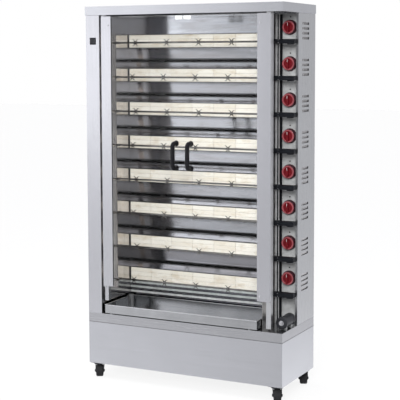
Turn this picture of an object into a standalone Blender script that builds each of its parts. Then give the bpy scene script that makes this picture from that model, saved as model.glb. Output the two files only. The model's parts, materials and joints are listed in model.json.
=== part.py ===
"""Floor-standing gas rotisserie oven: eight spits, glass doors, a drive bay and casters.

Units are metres, +Z is up, and the front faces -Y. The origin is on the floor, under the
middle of the whole object's box. Each named object is one physical piece.
"""
import math

import bmesh
import bpy
from mathutils import Matrix, Vector

# ---------------------------------------------------------------- driving dimensions
WIDTH = 1.100
DEPTH = 0.420
BODY_HEIGHT = 1.864
CASTER_HEIGHT = 0.076
BASE_HEIGHT = 0.222
DECK_HEIGHT = 0.047
CAP_HEIGHT = 0.045
HANDLE_REACH = 0.050
ROWS = 8
PITCH = 0.1795
SHEET = 0.002
THIN = 0.0015
GAP = 0.0003
CAP_OVERHANG = 0.003

# ---------------------------------------------------------------- levels and planes
FRONT_Y = -(DEPTH - HANDLE_REACH) / 2
BACK_Y = FRONT_Y + DEPTH
LEFT_X = -WIDTH / 2
RIGHT_X = WIDTH / 2
BASE_Z = CASTER_HEIGHT
DECK_Z = BASE_Z + BASE_HEIGHT
BODY_Z = DECK_Z + DECK_HEIGHT
TOP_Z = CASTER_HEIGHT + BODY_HEIGHT
CAP_Z = TOP_Z - CAP_HEIGHT
PANEL_LO = BODY_Z + GAP
PANEL_HI = CAP_Z - GAP

# oven cavity: its inner faces, and the drive bay to its right
CAVITY_LEFT = -0.475
CAVITY_RIGHT = 0.418
BURNER_Y = FRONT_Y + 0.3065
REFLECTOR_Y = FRONT_Y + 0.3085
FLUE_Y = FRONT_Y + 0.3185
LIP_Y = FRONT_Y + 0.3025
PLENUM_Y = FRONT_Y + 0.375
CEILING_Z = PANEL_HI - 0.008

# rows: heights of the lowest spit, burner and knob
SPIT_Z = 0.4995
SPIT_Y = FRONT_Y + 0.180
BURNER_RISE = 0.009
KNOB_RISE = 0.070
BURNER_TALL = 0.067
WINDOW_TALL = 0.073
SLOT_TOP = -0.097
SLOT_BOTTOM = -0.110

# doors
DOOR_Z = 0.493
DOOR_TOP = 1.888
MEETING_X = 0.015
MEETING_GAP = 0.002
STILE_DEPTH = 0.0108
LEFT_STILE_X = LEFT_X + 0.0915
RIGHT_STILE_X = RIGHT_X - 0.063
LEFT_STILE_WIDTH = 0.0575
RIGHT_STILE_WIDTH = 0.071
POST_Y = FRONT_Y + 0.0175
POST_DEPTH = 0.024
LEFT_POST_X = LEFT_STILE_X
RIGHT_POST_X = RIGHT_STILE_X - 0.004
LEFT_POST_WIDTH = 0.020
RIGHT_POST_WIDTH = 0.024
LEFT_POST_Z = 0.414
RIGHT_POST_Z = 0.357
GLASS = 0.006
PIVOT_INSET = 0.008
PIVOT_RADIUS = 0.0022
HANDLE_Z = 1.190
HANDLE_TALL = 0.146
HANDLE_RADIUS = 0.0115
HANDLE_OFFSET = 0.041

# drive bay
CONTROL_Y = FRONT_Y + 0.264
SIDE_EDGE_Y = FRONT_Y + 0.194
LOUVRES = 4
KNOB_X = RIGHT_X - 0.071
KNOB_RADIUS = 0.037
CAP_RADIUS = 0.0335
KNOB_REACH = 0.042
GRIP_LENGTH = 0.052
GRIP_WIDTH = 0.011
STEM_RADIUS = 0.003
MOTOR_RIGHT = RIGHT_X - 0.0065
MOTOR_FRONT = FRONT_Y + 0.155
MOTOR_BACK = FRONT_Y + 0.192
MOTOR_HALF = 0.0110
RISER_X = 0.4330
RISER_Y = FRONT_Y + 0.209
RISER_RADIUS = 0.0115
CONDUIT_X = 0.4325
CONDUIT_RADIUS = 0.0075
CONDUIT_Y = CONTROL_Y - CONDUIT_RADIUS - 2 * GAP
TAP_Y = FRONT_Y + 0.3275
REGULATOR_X = 0.516
REGULATOR_Z = BODY_Z + 0.034
REGULATOR_RADIUS = 0.030
REGULATOR_FRONT = FRONT_Y + 0.070
REGULATOR_BACK = FRONT_Y + 0.188

# spits
ROD_RADIUS = 0.005
BORE_RADIUS = 0.0058
SPIT_LEFT = CAVITY_LEFT + 0.003
SPIT_RIGHT = 0.443
FORKS = 5
FORK_PITCH = 0.185
FORK_STAGGER = 0.010
FORK_LENGTH = 0.050
FORK_ANGLE = math.radians(43)

# grease tray
TRAY_LEFT = -0.456
TRAY_RIGHT = CAVITY_RIGHT - 0.002
TRAY_Z = BODY_Z + 0.003
TRAY_HEIGHT = 0.044
TRAY_FRONT = FRONT_Y + 0.004
TRAY_BACK = FRONT_Y + 0.290
DRAIN_X = -0.395
DRAIN_Y = FRONT_Y + 0.175
DRAIN_RADIUS = 0.015
DRAIN_TALL = 0.075

# casters
WHEEL_RADIUS = 0.031
WHEEL_WIDTH = 0.036
AXLE_RADIUS = 0.004
TRAIL = 0.014
TRAIL_ANGLE = math.radians(297)
CASTER_X = WIDTH / 2 - 0.041
CASTER_Y = 0.038
PLATE = 0.0025
PLATE_SIZE = 0.070
ARM = 0.003
HEAD_HEIGHT = 0.008
HEAD_RADIUS = 0.031

NAME = "rotisserie_oven"


# ---------------------------------------------------------------- scene and materials
def clear_scene():
    for old in list(bpy.data.objects):
        bpy.data.objects.remove(old, do_unlink=True)


def new_collection(name):
    made = bpy.data.collections.new(name)
    bpy.context.scene.collection.children.link(made)
    return made


clear_scene()
PARTS = new_collection(NAME)
TOOLS = new_collection(NAME + "_cutters")


def material(name, color, roughness, metallic=0.0, alpha=1.0):
    made = bpy.data.materials.new(name)
    made.use_nodes = True
    shader = made.node_tree.nodes["Principled BSDF"]
    shader.inputs["Base Color"].default_value = (*color, 1.0)
    shader.inputs["Roughness"].default_value = roughness
    shader.inputs["Metallic"].default_value = metallic
    shader.inputs["Alpha"].default_value = alpha
    return made


STAINLESS = material("stainless", (0.72, 0.73, 0.76), 0.35, 1.0)
POLISHED = material("polished_steel", (0.80, 0.80, 0.82), 0.12, 1.0)
BURNER = material("burner_ceramic", (0.80, 0.75, 0.62), 0.8)
GLAZING = material("door_glass", (0.92, 0.95, 0.96), 0.03, 0.0, 0.25)
BLACK = material("black_plastic", (0.02, 0.02, 0.022), 0.4)
DARK = material("dark_metal", (0.05, 0.05, 0.06), 0.45, 0.6)
RED = material("red_knob", (0.42, 0.02, 0.03), 0.35)
TYRE = material("caster_tyre", (0.03, 0.03, 0.03), 0.7)


# ---------------------------------------------------------------- building blocks
def add(name, shape, finish, where=None):
    """Make an object of a bmesh or a mesh and put it with the parts, or the cutters."""
    mesh = shape
    if isinstance(shape, bmesh.types.BMesh):
        mesh = bpy.data.meshes.new(name)
        shape.to_mesh(mesh)
        shape.free()
    made = bpy.data.objects.new(name, mesh)
    if finish:
        mesh.materials.append(finish)
    (where or PARTS).objects.link(made)
    return made


def tool(name, shape):
    """A cutter, or a shape that is joined onto a part."""
    made = add(name, shape, None, TOOLS)
    made.hide_render = True
    made.display_type = "WIRE"
    return made


def add_box(shape, low, high, turn=None):
    """Add a box between two corners to a bmesh, turned about its own middle if asked."""
    low, high = Vector(low), Vector(high)
    size = Matrix.Diagonal((*(high - low), 1.0))
    place = Matrix.Translation((low + high) / 2) @ (turn or Matrix.Identity(4)) @ size
    bmesh.ops.create_cube(shape, size=1.0, matrix=place)


def add_rod(shape, start, end, radius, sides=16, end_radius=None):
    """Add a capped cylinder or cone between two points to a bmesh."""
    start, end = Vector(start), Vector(end)
    along = end - start
    place = Matrix.Translation((start + end) / 2) @ along.to_track_quat("Z", "Y").to_matrix().to_4x4()
    far = radius if end_radius is None else end_radius
    bmesh.ops.create_cone(shape, cap_ends=True, segments=sides, radius1=radius, radius2=far,
                          depth=along.length, matrix=place)


def box_shape(*boxes):
    shape = bmesh.new()
    for low, high in boxes:
        add_box(shape, low, high)
    return shape


def rod_shape(radius, sides, *rods):
    shape = bmesh.new()
    for start, end in rods:
        add_rod(shape, start, end, radius, sides)
    return shape


def boolean(part, other, operation):
    step = part.modifiers.new(other.name, "BOOLEAN")
    step.operation = operation
    step.solver = "EXACT"
    step.object = other


def cut(part, other):
    boolean(part, other, "DIFFERENCE")


def join(part, other):
    boolean(part, other, "UNION")


def thicken(part, thickness, offset):
    step = part.modifiers.new("sheet", "SOLIDIFY")
    step.thickness = thickness
    step.offset = offset
    step.use_even_offset = True


def block(name, low, high, finish):
    return add(name, box_shape((low, high)), finish)


def shell(name, low, high, open_side, thickness, finish):
    """A sheet-metal box with one face left out; open_side points out of that face."""
    shape = box_shape((low, high))
    shape.normal_update()
    missing = [f for f in shape.faces if f.normal.dot(Vector(open_side)) > 0.9]
    bmesh.ops.delete(shape, geom=missing, context="FACES")
    part = add(name, shape, finish)
    thicken(part, thickness, -1.0)
    return part


def ribbons(axis, paths, start, end):
    """Open ribbons: each path is extruded along one axis, which its points leave out."""
    shape = bmesh.new()
    for path in paths:
        rows = []
        for level in (start, end):
            row = []
            for a, b in path:
                spot = {"x": (level, a, b), "y": (a, level, b), "z": (a, b, level)}[axis]
                row.append(shape.verts.new(spot))
            rows.append(row)
        for i in range(len(path) - 1):
            shape.faces.new((rows[0][i], rows[0][i + 1], rows[1][i + 1], rows[1][i]))
    return shape


def folded_sheet(name, axis, paths, start, end, thickness, finish):
    """Folded sheet metal; a path is the middle of the sheet's thickness."""
    part = add(name, ribbons(axis, paths, start, end), finish)
    thicken(part, thickness, 0.0)
    return part


def turned(name, profile, steps, finish, where=None):
    """A body turned about its own Z axis; the profile runs from its top down its outside."""
    shape = bmesh.new()
    spots = [shape.verts.new((radius, 0.0, height)) for radius, height in profile]
    for upper, lower in zip(spots, spots[1:]):
        shape.edges.new((upper, lower))
    part = add(name, shape, finish, where)
    step = part.modifiers.new("turn", "SCREW")
    step.steps = steps
    step.render_steps = steps
    step.use_merge_vertices = True
    step.merge_threshold = 0.00001
    return part


def pivot_at(part, spot):
    """Move a part's origin onto its joint's axis, without moving the part."""
    part.data.transform(Matrix.Translation(-Vector(spot)))
    part.location = spot


def row_z(row, rise=0.0):
    return SPIT_Z + row * PITCH + rise


# ---------------------------------------------------------------- base, deck and casing
def make_base():
    shell("base_cabinet", (LEFT_X, FRONT_Y, BASE_Z), (RIGHT_X, BACK_Y, DECK_Z - GAP),
          (0, 0, -1), SHEET, STAINLESS)
    shell("body_deck", (LEFT_X, FRONT_Y, DECK_Z), (RIGHT_X, BACK_Y, BODY_Z),
          (0, 0, -1), SHEET, STAINLESS)
    inset = SHEET + GAP
    rail = 0.040
    low = Vector((LEFT_X + inset, FRONT_Y + inset, BASE_Z))
    high = Vector((RIGHT_X - inset, BACK_Y - inset, BASE_Z + 0.030))
    frame = block("base_frame", low, high, DARK)
    margin = Vector((rail, rail, 0))
    lift = Vector((0, 0, 0.01))
    cut(frame, tool("base_frame_opening", box_shape((low + margin - lift, high - margin + lift))))
    plates = bmesh.new()
    for x, y in caster_spots():
        half = PLATE_SIZE / 2
        add_box(plates, (x - half, y - half, BASE_Z - PLATE), (x + half, y + half, BASE_Z + 0.004))
    join(frame, tool("caster_plates", plates))


def make_casing():
    outer_left = LEFT_X + SHEET / 2
    outer_right = RIGHT_X - SHEET / 2
    post_x = LEFT_X + 0.079
    front = FRONT_Y + SHEET / 2
    rear = BACK_Y - SHEET - GAP
    folded_sheet("left_side_panel", "z",
                 [[(post_x, FRONT_Y + 0.026), (post_x, front), (outer_left, front), (outer_left, rear)]],
                 PANEL_LO, PANEL_HI, SHEET, STAINLESS)
    edge = SIDE_EDGE_Y + SHEET / 2
    panel = folded_sheet("right_side_panel", "z",
                         [[(RIGHT_X - 0.012, edge), (outer_right, edge), (outer_right, rear)]],
                         PANEL_LO, PANEL_HI, SHEET, STAINLESS)
    louvres = bmesh.new()
    for row in range(ROWS):
        for slot in range(LOUVRES):
            z = row_z(row, 0.052) + (slot - (LOUVRES - 1) / 2) * 0.024
            add_box(louvres, (RIGHT_X - 0.02, FRONT_Y + 0.245, z - 0.006),
                    (RIGHT_X + 0.02, FRONT_Y + 0.334, z + 0.006))
    cut(panel, tool("louvre_slots", louvres))
    block("back_panel", (LEFT_X, BACK_Y - SHEET, PANEL_LO), (RIGHT_X, BACK_Y, PANEL_HI), STAINLESS)
    shell("top_cap", (LEFT_X - CAP_OVERHANG, FRONT_Y - CAP_OVERHANG, CAP_Z),
          (RIGHT_X + CAP_OVERHANG, BACK_Y, TOP_Z), (0, 0, -1), SHEET, STAINLESS)


# ---------------------------------------------------------------- oven cavity
def make_cavity():
    wall_front = FRONT_Y + 0.040
    wall_back = PLENUM_Y - GAP
    block("left_cavity_wall", (CAVITY_LEFT - THIN, wall_front, PANEL_LO),
          (CAVITY_LEFT, wall_back, CEILING_Z - GAP), STAINLESS)
    right_wall = block("right_cavity_wall", (CAVITY_RIGHT, wall_front + 0.020, PANEL_LO),
                       (CAVITY_RIGHT + THIN, wall_back, CEILING_Z - GAP), STAINLESS)
    spit_holes = [((CAVITY_RIGHT - 0.01, SPIT_Y, row_z(k)), (CAVITY_RIGHT + 0.01, SPIT_Y, row_z(k)))
                  for k in range(ROWS)]
    feed_holes = [((CAVITY_RIGHT - 0.01, TAP_Y, row_z(k, BURNER_RISE)),
                   (CAVITY_RIGHT + 0.01, TAP_Y, row_z(k, BURNER_RISE))) for k in range(ROWS)]
    cut(right_wall, tool("spit_holes", rod_shape(0.008, 10, *spit_holes)))
    cut(right_wall, tool("feed_holes", rod_shape(0.007, 8, *feed_holes)))
    block("cavity_back_wall", (CAVITY_LEFT - THIN, PLENUM_Y, PANEL_LO),
          (CAVITY_RIGHT + THIN, PLENUM_Y + THIN, CEILING_Z - GAP), STAINLESS)
    block("ceiling_panel", (CAVITY_LEFT - THIN, FRONT_Y + 0.044, CEILING_Z),
          (CAVITY_RIGHT + THIN, PLENUM_Y + THIN, CEILING_Z + THIN), STAINLESS)


def make_burners():
    """Eight burner channels, open at the back, on two rails."""
    half = BURNER_TALL / 2 - SHEET / 2
    back = PLENUM_Y - 0.012
    front = BURNER_Y + SHEET / 2
    paths = []
    for row in range(ROWS):
        z = row_z(row, BURNER_RISE)
        paths.append([(back, z - half), (front, z - half), (front, z + half), (back, z + half)])
    bank = folded_sheet("burner_bank", "x", paths, CAVITY_LEFT + 0.002, CAVITY_RIGHT - 0.002,
                        SHEET, BURNER)
    rails = [((x - 0.015, back - 0.004, row_z(0, -0.04)), (x + 0.015, back + 0.004, row_z(ROWS - 1, 0.06)))
             for x in (-0.30, 0.30)]
    join(bank, tool("burner_rails", box_shape(*rails)))


def make_reflectors():
    """One stamped panel: a burner window, an inclined reflector and a flue slot for each row."""
    path = [(REFLECTOR_Y, PANEL_LO)]
    windows = []
    slots = []
    for row in range(ROWS):
        z = row_z(row, BURNER_RISE)
        if row:
            path += [(LIP_Y, z + SLOT_BOTTOM), (FLUE_Y, z + SLOT_TOP)]
            slots.append(((CAVITY_LEFT + 0.012, LIP_Y + 0.002, z + SLOT_BOTTOM - 0.002),
                          (CAVITY_RIGHT - 0.012, FLUE_Y - 0.002, z + SLOT_TOP + 0.002)))
        path += [(REFLECTOR_Y, z - WINDOW_TALL / 2 - 0.001), (REFLECTOR_Y, z + WINDOW_TALL / 2 + 0.001)]
        windows.append(((CAVITY_LEFT + 0.0015, REFLECTOR_Y - 0.02, z - WINDOW_TALL / 2),
                        (CAVITY_RIGHT - 0.0015, REFLECTOR_Y + 0.02, z + WINDOW_TALL / 2)))
    path.append((REFLECTOR_Y, CEILING_Z - GAP))
    panel = folded_sheet("reflector_panel", "x", [path], CAVITY_LEFT + GAP, CAVITY_RIGHT - GAP,
                         THIN, POLISHED)
    cut(panel, tool("burner_windows", box_shape(*windows)))
    cut(panel, tool("flue_slots", box_shape(*slots)))


def make_spit_rail():
    low = (CAVITY_LEFT + GAP, SPIT_Y - 0.030, row_z(0, -0.045))
    high = (CAVITY_LEFT + 0.0153, SPIT_Y + 0.022, row_z(ROWS - 1, 0.045))
    rail = block("left_spit_rail", low, high, STAINLESS)
    notches = [((low[0] - 0.01, low[1] - 0.01, row_z(k) - 0.006),
                (high[0] + 0.01, SPIT_Y + 0.006, row_z(k) + 0.006)) for k in range(ROWS)]
    cut(rail, tool("spit_notches", box_shape(*notches)))


# ---------------------------------------------------------------- doors
def make_door(side, stile_x, stile_width):
    """A hinged glass door; side is -1 on the left and 1 on the right."""
    label = "left" if side < 0 else "right"
    half = THIN / 2
    front = FRONT_Y + half
    back = FRONT_Y + STILE_DEPTH - half
    outer = stile_x - side * half
    inner = stile_x - side * stile_width
    pivot = (stile_x - side * PIVOT_INSET, FRONT_Y + STILE_DEPTH / 2, DOOR_Z)
    stile = folded_sheet(label + "_door_stile", "z",
                         [[(inner, front), (outer, front), (outer, back), (inner, back)]],
                         DOOR_Z, DOOR_TOP, THIN, STAINLESS)
    pivot_at(stile, pivot)
    glass_y = FRONT_Y + (STILE_DEPTH - GLASS) / 2
    glass_outer = pivot[0] - side * 0.006
    glass_inner = MEETING_X + side * MEETING_GAP / 2
    glass = block(label + "_door_glass",
                  (min(glass_outer, glass_inner), glass_y, DOOR_Z + 0.002),
                  (max(glass_outer, glass_inner), glass_y + GLASS, DOOR_TOP - 0.002), GLAZING)
    pivot_at(glass, pivot)
    make_handle(label, side, glass_y - GAP, pivot)
    return pivot


def make_handle(label, side, glass_front, pivot):
    """A bent round pull: two feet on the glass and a grip standing off it."""
    x = MEETING_X + side * HANDLE_OFFSET
    grip_y = FRONT_Y - HANDLE_REACH + HANDLE_RADIUS
    reach = HANDLE_TALL / 2 - HANDLE_RADIUS
    bend = 0.016
    route = [(glass_front, -reach)]
    for step in range(5):
        turn = math.radians(90 * step / 4)
        route.append((grip_y + bend * (1 - math.sin(turn)), -reach + bend * (1 - math.cos(turn))))
    route += [(y, -z) for y, z in reversed(route)]
    curve = bpy.data.curves.new(label + "_handle_route", "CURVE")
    curve.dimensions = "3D"
    curve.bevel_depth = HANDLE_RADIUS
    curve.bevel_resolution = 2
    curve.use_fill_caps = True
    line = curve.splines.new("POLY")
    line.points.add(len(route) - 1)
    for point, (y, z) in zip(line.points, route):
        point.co = (x, y, HANDLE_Z + z, 1.0)
    bent = bpy.data.objects.new(label + "_handle_route", curve)
    TOOLS.objects.link(bent)
    depsgraph = bpy.context.evaluated_depsgraph_get()
    mesh = bpy.data.meshes.new_from_object(bent.evaluated_get(depsgraph))
    bpy.data.objects.remove(bent, do_unlink=True)
    shape = bmesh.new()
    shape.from_mesh(mesh)
    bmesh.ops.remove_doubles(shape, verts=shape.verts, dist=0.00001)
    pull = add(label + "_door_handle", shape, BLACK)
    pivot_at(pull, pivot)


def make_post(side, outer, width, lower_z, pivot):
    """The fixed post behind a stile, with the two pivot pins that the door turns on."""
    label = "left" if side < 0 else "right"
    inner = outer - side * width
    rear_y = POST_Y + POST_DEPTH
    post = folded_sheet(label + "_door_post", "z",
                        [[(outer, rear_y), (outer, POST_Y), (inner, POST_Y), (inner, rear_y)]],
                        lower_z, PANEL_HI, THIN, STAINLESS)
    x, y, _ = pivot
    brackets = bmesh.new()
    pins = bmesh.new()
    for edge, out in ((DOOR_Z, -1), (DOOR_TOP, 1)):
        near, far = edge + out * 0.001, edge + out * 0.004
        add_box(brackets, (x - 0.007, y - 0.004, min(near, far)), (x + 0.007, POST_Y + 0.0005, max(near, far)))
        add_rod(pins, (x, y, edge + out * 0.0025), (x, y, edge - out * 0.0017), PIVOT_RADIUS, 12)
    join(post, tool(label + "_hinge_brackets", brackets))
    join(post, tool(label + "_hinge_pins", pins))


# ---------------------------------------------------------------- spits and their drives
def make_spit(row):
    z = row_z(row)
    rod = add("spit_%d" % (row + 1),
              rod_shape(ROD_RADIUS, 8, ((SPIT_LEFT, SPIT_Y, z), (SPIT_RIGHT, SPIT_Y, z))), POLISHED)
    shift = FORK_STAGGER * (1 if row % 2 else -1)
    for lean in (-1, 1):
        prongs = bmesh.new()
        for k in range(FORKS):
            x = (k - (FORKS - 1) / 2) * FORK_PITCH + shift
            turn = Matrix.Rotation(lean * FORK_ANGLE, 4, "Y")
            add_box(prongs, (x - FORK_LENGTH / 2, SPIT_Y - 0.003, z - 0.0022),
                    (x + FORK_LENGTH / 2, SPIT_Y + 0.003, z + 0.0022), turn)
        prong_tool = tool("forks_%d_%s" % (row + 1, "a" if lean < 0 else "b"), prongs)
        join(rod, prong_tool)
    pivot_at(rod, (0.0, SPIT_Y, z))


def make_gearmotor(row):
    z = row_z(row)
    left = CAVITY_RIGHT + THIN + GAP
    case = block("gearmotor_%d" % (row + 1), (left, MOTOR_FRONT, z - MOTOR_HALF),
                 (MOTOR_RIGHT, MOTOR_BACK, z + MOTOR_HALF), BLACK)
    can_x = MOTOR_RIGHT - 0.026
    can_y = (MOTOR_FRONT + MOTOR_BACK) / 2
    can = rod_shape(0.0180, 14, ((can_x, can_y, z - MOTOR_HALF - 0.005), (can_x, can_y, z + 0.008)))
    join(case, tool("motor_can_%d" % (row + 1), can))
    bore = rod_shape(BORE_RADIUS, 10, ((left - 0.01, SPIT_Y, z), (SPIT_RIGHT + 0.004, SPIT_Y, z)))
    cut(case, tool("spit_socket_%d" % (row + 1), bore))


# ---------------------------------------------------------------- controls and gas
def make_knob(row):
    """Black skirt, red cap and grip bar on a stem, turned about the stem's axis."""
    rim = KNOB_REACH - 0.010
    dish = CAP_RADIUS - 0.008
    profile = [(0.0, rim - 0.004), (dish - 0.003, rim - 0.004), (dish, rim), (CAP_RADIUS - 0.002, rim),
               (CAP_RADIUS, rim - 0.003), (CAP_RADIUS + 0.0005, 0.010), (KNOB_RADIUS, 0.009),
               (KNOB_RADIUS, 0.0012), (STEM_RADIUS, 0.0012), (STEM_RADIUS, -0.018), (0.0, -0.018)]
    knob = turned("knob_%d" % (row + 1), profile, 16, RED)
    grip = tool("knob_grip_%d" % (row + 1),
                box_shape(((-GRIP_WIDTH / 2, -GRIP_LENGTH / 2, rim - 0.010),
                           (GRIP_WIDTH / 2, GRIP_LENGTH / 2, KNOB_REACH))))
    join(knob, grip)
    for piece in (knob, grip):
        piece.location = (KNOB_X, CONTROL_Y, row_z(row, KNOB_RISE))
        piece.rotation_euler = (math.radians(90), 0.0, 0.0)


def make_control_panel():
    panel = block("control_panel", (CAVITY_RIGHT + THIN + GAP, CONTROL_Y, PANEL_LO),
                  (RIGHT_X - SHEET - GAP, CONTROL_Y + THIN, PANEL_HI), STAINLESS)
    stems = [((KNOB_X, CONTROL_Y - 0.01, row_z(k, KNOB_RISE)),
              (KNOB_X, CONTROL_Y + 0.01, row_z(k, KNOB_RISE))) for k in range(ROWS)]
    cut(panel, tool("stem_holes", rod_shape(0.0045, 8, *stems)))


def make_gas():
    """The gas taps on their rear manifold, the polished riser, a conduit and the regulator."""
    top = row_z(ROWS - 1, KNOB_RISE) + 0.020
    bank = add("gas_tap_bank", rod_shape(0.008, 8, ((KNOB_X, TAP_Y, PANEL_LO + 0.01), (KNOB_X, TAP_Y, top))),
               DARK)
    bodies = [((KNOB_X - 0.013, CONTROL_Y + 0.022, row_z(k, BURNER_RISE) - 0.012),
               (KNOB_X + 0.013, TAP_Y + 0.012, row_z(k, KNOB_RISE) + 0.012)) for k in range(ROWS)]
    feeds = [((KNOB_X, TAP_Y, row_z(k, BURNER_RISE)), (CAVITY_RIGHT - 0.010, TAP_Y, row_z(k, BURNER_RISE)))
             for k in range(ROWS)]
    join(bank, tool("tap_bodies", box_shape(*bodies)))
    join(bank, tool("tap_feeds", rod_shape(0.0045, 6, *feeds)))
    add("gas_riser", rod_shape(RISER_RADIUS, 24, ((RISER_X, RISER_Y, PANEL_LO), (RISER_X, RISER_Y, PANEL_HI - 0.004))),
        POLISHED)
    add("cable_conduit", rod_shape(CONDUIT_RADIUS, 16,
                                   ((CONDUIT_X, CONDUIT_Y, PANEL_LO),
                                    (CONDUIT_X, CONDUIT_Y, PANEL_HI - 0.004))), BLACK)
    make_regulator()


def make_regulator():
    """The gas regulator, lying on two feet on the bay's floor with its inlet to the front."""
    front = Vector((REGULATOR_X, REGULATOR_FRONT, REGULATOR_Z))
    back = Vector((REGULATOR_X, REGULATOR_BACK, REGULATOR_Z))
    body = add("gas_regulator", rod_shape(REGULATOR_RADIUS, 24, (front, back)), DARK)
    inlet = (front - Vector((0, 0.012, 0)), front + Vector((0, 0.020, 0)))
    join(body, tool("regulator_inlet", rod_shape(0.009, 16, inlet)))
    feet = [((REGULATOR_X - 0.016, y, BODY_Z + GAP), (REGULATOR_X + 0.016, y + 0.012, REGULATOR_Z - 0.020))
            for y in (REGULATOR_FRONT + 0.015, REGULATOR_BACK - 0.023)]
    join(body, tool("regulator_feet", box_shape(*feet)))


# ---------------------------------------------------------------- grease tray
def make_tray():
    tray = shell("grease_tray", (TRAY_LEFT, TRAY_FRONT, TRAY_Z), (TRAY_RIGHT, TRAY_BACK, TRAY_Z + TRAY_HEIGHT),
                 (0, 0, 1), THIN, STAINLESS)
    runners = [((TRAY_LEFT + d, TRAY_FRONT + 0.005, BODY_Z + GAP),
                (TRAY_LEFT + d + 0.012, TRAY_BACK - 0.005, TRAY_Z + 0.0005)) for d in (0.03, 0.82)]
    join(tray, tool("tray_runners", box_shape(*runners)))
    pipe = rod_shape(DRAIN_RADIUS, 16, ((DRAIN_X, DRAIN_Y, TRAY_Z + 0.0005),
                                        (DRAIN_X, DRAIN_Y, TRAY_Z + DRAIN_TALL)))
    join(tray, tool("tray_drain_pipe", pipe))


# ---------------------------------------------------------------- casters
def caster_spots():
    return [(x, y) for y in (FRONT_Y + CASTER_Y, BACK_Y - CASTER_Y) for x in (-CASTER_X, CASTER_X)]


def add_arm(shape, top, hub, back, side):
    """One tapered fork arm, wide at the head and narrow below the axle."""
    toe = hub - Vector((0, 0, 0.007))
    corners = [top - back * 0.025, top + back * 0.021, toe + back * 0.012, toe - back * 0.014]
    faces = []
    for way in (-1, 1):
        faces.append([shape.verts.new(spot + side * way * ARM / 2) for spot in corners])
    near, far = faces
    made = [shape.faces.new(near), shape.faces.new(list(reversed(far)))]
    for k in range(4):
        made.append(shape.faces.new((near[k], far[k], far[(k + 1) % 4], near[(k + 1) % 4])))
    bmesh.ops.recalc_face_normals(shape, faces=made)


def make_caster(label, x, y):
    """A swivel fork with its riveted axle, and the wheel that turns on it."""
    top = BASE_Z - PLATE - GAP
    back = Vector((math.cos(TRAIL_ANGLE), math.sin(TRAIL_ANGLE), 0))
    side = Vector((-back.y, back.x, 0))
    hub = Vector((x, y, 0)) + back * TRAIL + Vector((0, 0, WHEEL_RADIUS))
    head = bmesh.new()
    add_rod(head, (x, y, top - HEAD_HEIGHT), (x, y, top), HEAD_RADIUS, 20, HEAD_RADIUS - 0.004)
    fork = add("caster_fork_" + label, head, DARK)
    arms = bmesh.new()
    arm_gap = WHEEL_WIDTH / 2 + 0.0015
    for way in (-1, 1):
        offset = side * way * (arm_gap + ARM / 2)
        add_arm(arms, Vector((x, y, top - 0.006)) + offset, hub + offset, back, side)
    join(fork, tool("fork_arms_" + label, arms))
    reach = side * (arm_gap + 0.005)
    join(fork, tool("fork_axle_" + label, rod_shape(AXLE_RADIUS, 12, (hub - reach, hub + reach))))
    pivot_at(fork, (x, y, top))
    half_width = WHEEL_WIDTH / 2
    profile = [(AXLE_RADIUS + 0.0006, half_width), (WHEEL_RADIUS - 0.012, half_width),
               (WHEEL_RADIUS - 0.004, half_width - 0.002), (WHEEL_RADIUS, half_width - 0.006),
               (WHEEL_RADIUS, -half_width + 0.006), (WHEEL_RADIUS - 0.004, -half_width + 0.002),
               (WHEEL_RADIUS - 0.012, -half_width), (AXLE_RADIUS + 0.0006, -half_width),
               (AXLE_RADIUS + 0.0006, half_width)]
    wheel = turned("caster_wheel_" + label, profile, 20, TYRE)
    wheel.location = hub
    wheel.rotation_euler = side.to_track_quat("Z", "Y").to_euler()


# ---------------------------------------------------------------- the whole oven
make_base()
make_casing()
make_cavity()
make_burners()
make_reflectors()
make_spit_rail()
left_pivot = make_door(-1, LEFT_STILE_X, LEFT_STILE_WIDTH)
right_pivot = make_door(1, RIGHT_STILE_X, RIGHT_STILE_WIDTH)
make_post(-1, LEFT_POST_X, LEFT_POST_WIDTH, LEFT_POST_Z, left_pivot)
make_post(1, RIGHT_POST_X, RIGHT_POST_WIDTH, RIGHT_POST_Z, right_pivot)
make_control_panel()
make_gas()
make_tray()
for index in range(ROWS):
    make_spit(index)
    make_gearmotor(index)
    make_knob(index)
for corner, spot in zip(("front_left", "front_right", "rear_left", "rear_right"), caster_spots()):
    make_caster(corner, *spot)
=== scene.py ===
"""Looks of the floor-standing gas rotisserie oven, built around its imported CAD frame."""
import json
import math

import bmesh
import bpy
from mathutils import Matrix, Vector


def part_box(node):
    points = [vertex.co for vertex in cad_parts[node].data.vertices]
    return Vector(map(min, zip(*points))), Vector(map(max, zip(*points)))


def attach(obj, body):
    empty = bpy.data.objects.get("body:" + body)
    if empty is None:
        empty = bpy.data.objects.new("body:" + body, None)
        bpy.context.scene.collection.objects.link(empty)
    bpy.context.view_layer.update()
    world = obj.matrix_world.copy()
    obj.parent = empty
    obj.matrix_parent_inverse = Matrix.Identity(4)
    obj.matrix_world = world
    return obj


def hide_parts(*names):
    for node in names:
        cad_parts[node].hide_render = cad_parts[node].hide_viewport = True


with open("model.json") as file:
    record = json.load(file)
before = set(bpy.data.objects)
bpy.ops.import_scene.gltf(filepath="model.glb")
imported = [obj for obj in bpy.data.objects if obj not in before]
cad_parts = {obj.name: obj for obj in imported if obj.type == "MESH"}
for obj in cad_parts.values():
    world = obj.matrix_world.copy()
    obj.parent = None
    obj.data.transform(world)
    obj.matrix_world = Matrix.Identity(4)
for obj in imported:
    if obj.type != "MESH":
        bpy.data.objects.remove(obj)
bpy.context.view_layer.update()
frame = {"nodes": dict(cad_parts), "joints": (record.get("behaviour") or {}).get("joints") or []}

# ---------------------------------------------------------------- places, all from the frame
MM = 0.001
JOINTS = {joint["name"]: joint for joint in frame["joints"]}
ROWS = sum(name.startswith("spit_") for name in frame["nodes"])
CORNERS = ("front_left", "front_right", "rear_left", "rear_right")
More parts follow.
